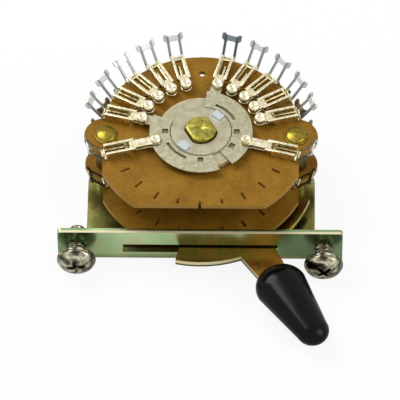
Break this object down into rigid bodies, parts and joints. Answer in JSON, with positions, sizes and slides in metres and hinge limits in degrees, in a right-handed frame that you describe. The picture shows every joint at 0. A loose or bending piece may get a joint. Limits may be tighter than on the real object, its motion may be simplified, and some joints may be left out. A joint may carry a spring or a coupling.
{
  "type": "guitar pickup selector switch",
  "caption": "Rotary blade selector switch: stacked contact wafers with solder tags on a bent slotted bracket, turned by a flat lever with a moulded tip.",
  "frame": {"origin": "middle of the footprint on the underside of the base plate, the surface that the switch lies on", "axes": "+Z along the shaft, from the base plate towards the upper wafer; -Y out of the slotted mounting strip, the way the lever points; +X along the strip"},
  "size_m": [0.0478, 0.055, 0.0175],
  "materials": {
    "yellow_zinc_steel": "yellow chromated zinc plate on pressed steel sheet",
    "phenolic_board": "punched phenolic paper board, brown, half gloss",
    "silvered_contact": "silver plated brass stampings, bright",
    "grey_moulding": "moulded pale grey plastic",
    "brass": "turned brass, bare",
    "plated_spacer": "turned spacer, dull plated",
    "nickel_screw": "nickel plated steel screw",
    "black_moulding": "moulded black plastic, half gloss",
    "ball_steel": "hardened polished steel ball",
    "spring_steel": "tempered spring steel strip"
  },
  "bodies": {
    "switch_frame": {"bracket": "yellow_zinc_steel", "lower_wafer": "phenolic_board", "upper_wafer": "phenolic_board", "post_left": "brass", "post_right": "brass", "mounting_screw_left": "nickel_screw", "mounting_screw_right": "nickel_screw", "lower_spacer_left": "plated_spacer", "lower_spacer_right": "plated_spacer", "upper_spacer_left": "plated_spacer", "upper_spacer_right": "plated_spacer", "lower_contact_01": "silvered_contact", "lower_contact_02": "silvered_contact", "lower_contact_03": "silvered_contact", "lower_contact_04": "silvered_contact", "lower_contact_05": "silvered_contact", "lower_contact_06": "silvered_contact", "lower_contact_07": "silvered_contact", "lower_contact_08": "silvered_contact", "lower_contact_09": "silvered_contact", "lower_contact_10": "silvered_contact", "lower_common_left": "silvered_contact", "lower_common_right": "silvered_contact", "upper_contact_01": "silvered_contact", "upper_contact_02": "silvered_contact", "upper_contact_03": "silvered_contact", "upper_contact_04": "silvered_contact", "upper_contact_05": "silvered_contact", "upper_contact_06": "silvered_contact", "upper_contact_07": "silvered_contact", "upper_contact_08": "silvered_contact", "upper_contact_09": "silvered_contact", "upper_contact_10": "silvered_contact", "upper_common_left": "silvered_contact", "upper_common_right": "silvered_contact"},
    "selector": {"shaft": "brass", "lever": "yellow_zinc_steel", "lever_tip": "black_moulding", "detent_ball": "ball_steel", "detent_leaf": "spring_steel", "leaf_rivet": "brass", "lower_rotor_hub": "grey_moulding", "lower_blade_left": "silvered_contact", "lower_blade_right": "silvered_contact", "upper_rotor_hub": "grey_moulding", "upper_blade_left": "silvered_contact", "upper_blade_right": "silvered_contact"}
  },
  "joints": [
    {"name": "lever_turn", "type": "hinge", "parent": "switch_frame", "child": "selector", "pos_m": [0, 0.00789, 0.0035], "axis": [0, 0, 1], "range_deg": [-60, 0]}
  ]
}
